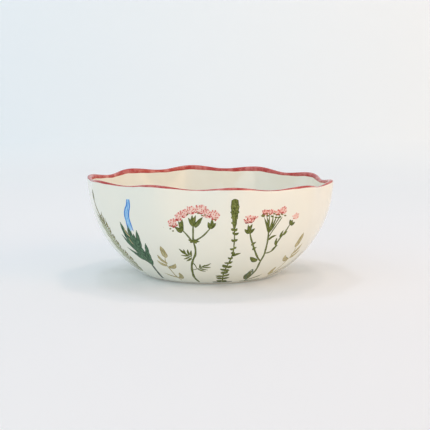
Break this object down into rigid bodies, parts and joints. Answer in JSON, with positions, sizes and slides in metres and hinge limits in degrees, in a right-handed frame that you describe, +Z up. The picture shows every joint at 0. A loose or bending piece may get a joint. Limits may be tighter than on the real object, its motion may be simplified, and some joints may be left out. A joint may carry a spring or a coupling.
{
  "type": "porcelain serving bowl",
  "caption": "Deep round porcelain serving bowl with a softly lobed wavy rim, a coral painted lip, wildflowers painted round the outside and a low foot ring.",
  "frame": {"origin": "centre of the face that the foot ring stands on, which is the middle of the bottom of the bounding box", "axes": "+Z up along the bowl's axis; the side whose flowers the reference view shows faces -Y, with +X to its right"},
  "size_m": [0.228, 0.227, 0.0915],
  "materials": {
    "porcelain_glaze": "gloss",
    "coral_enamel": "gloss",
    "bare_porcelain": "matte",
    "flower_paint": "gloss"
  },
  "bodies": {
    "root": {"bowl_body": "porcelain_glaze", "rim_band": "coral_enamel", "foot_ring": "bare_porcelain"}
  },
  "joints": []
}
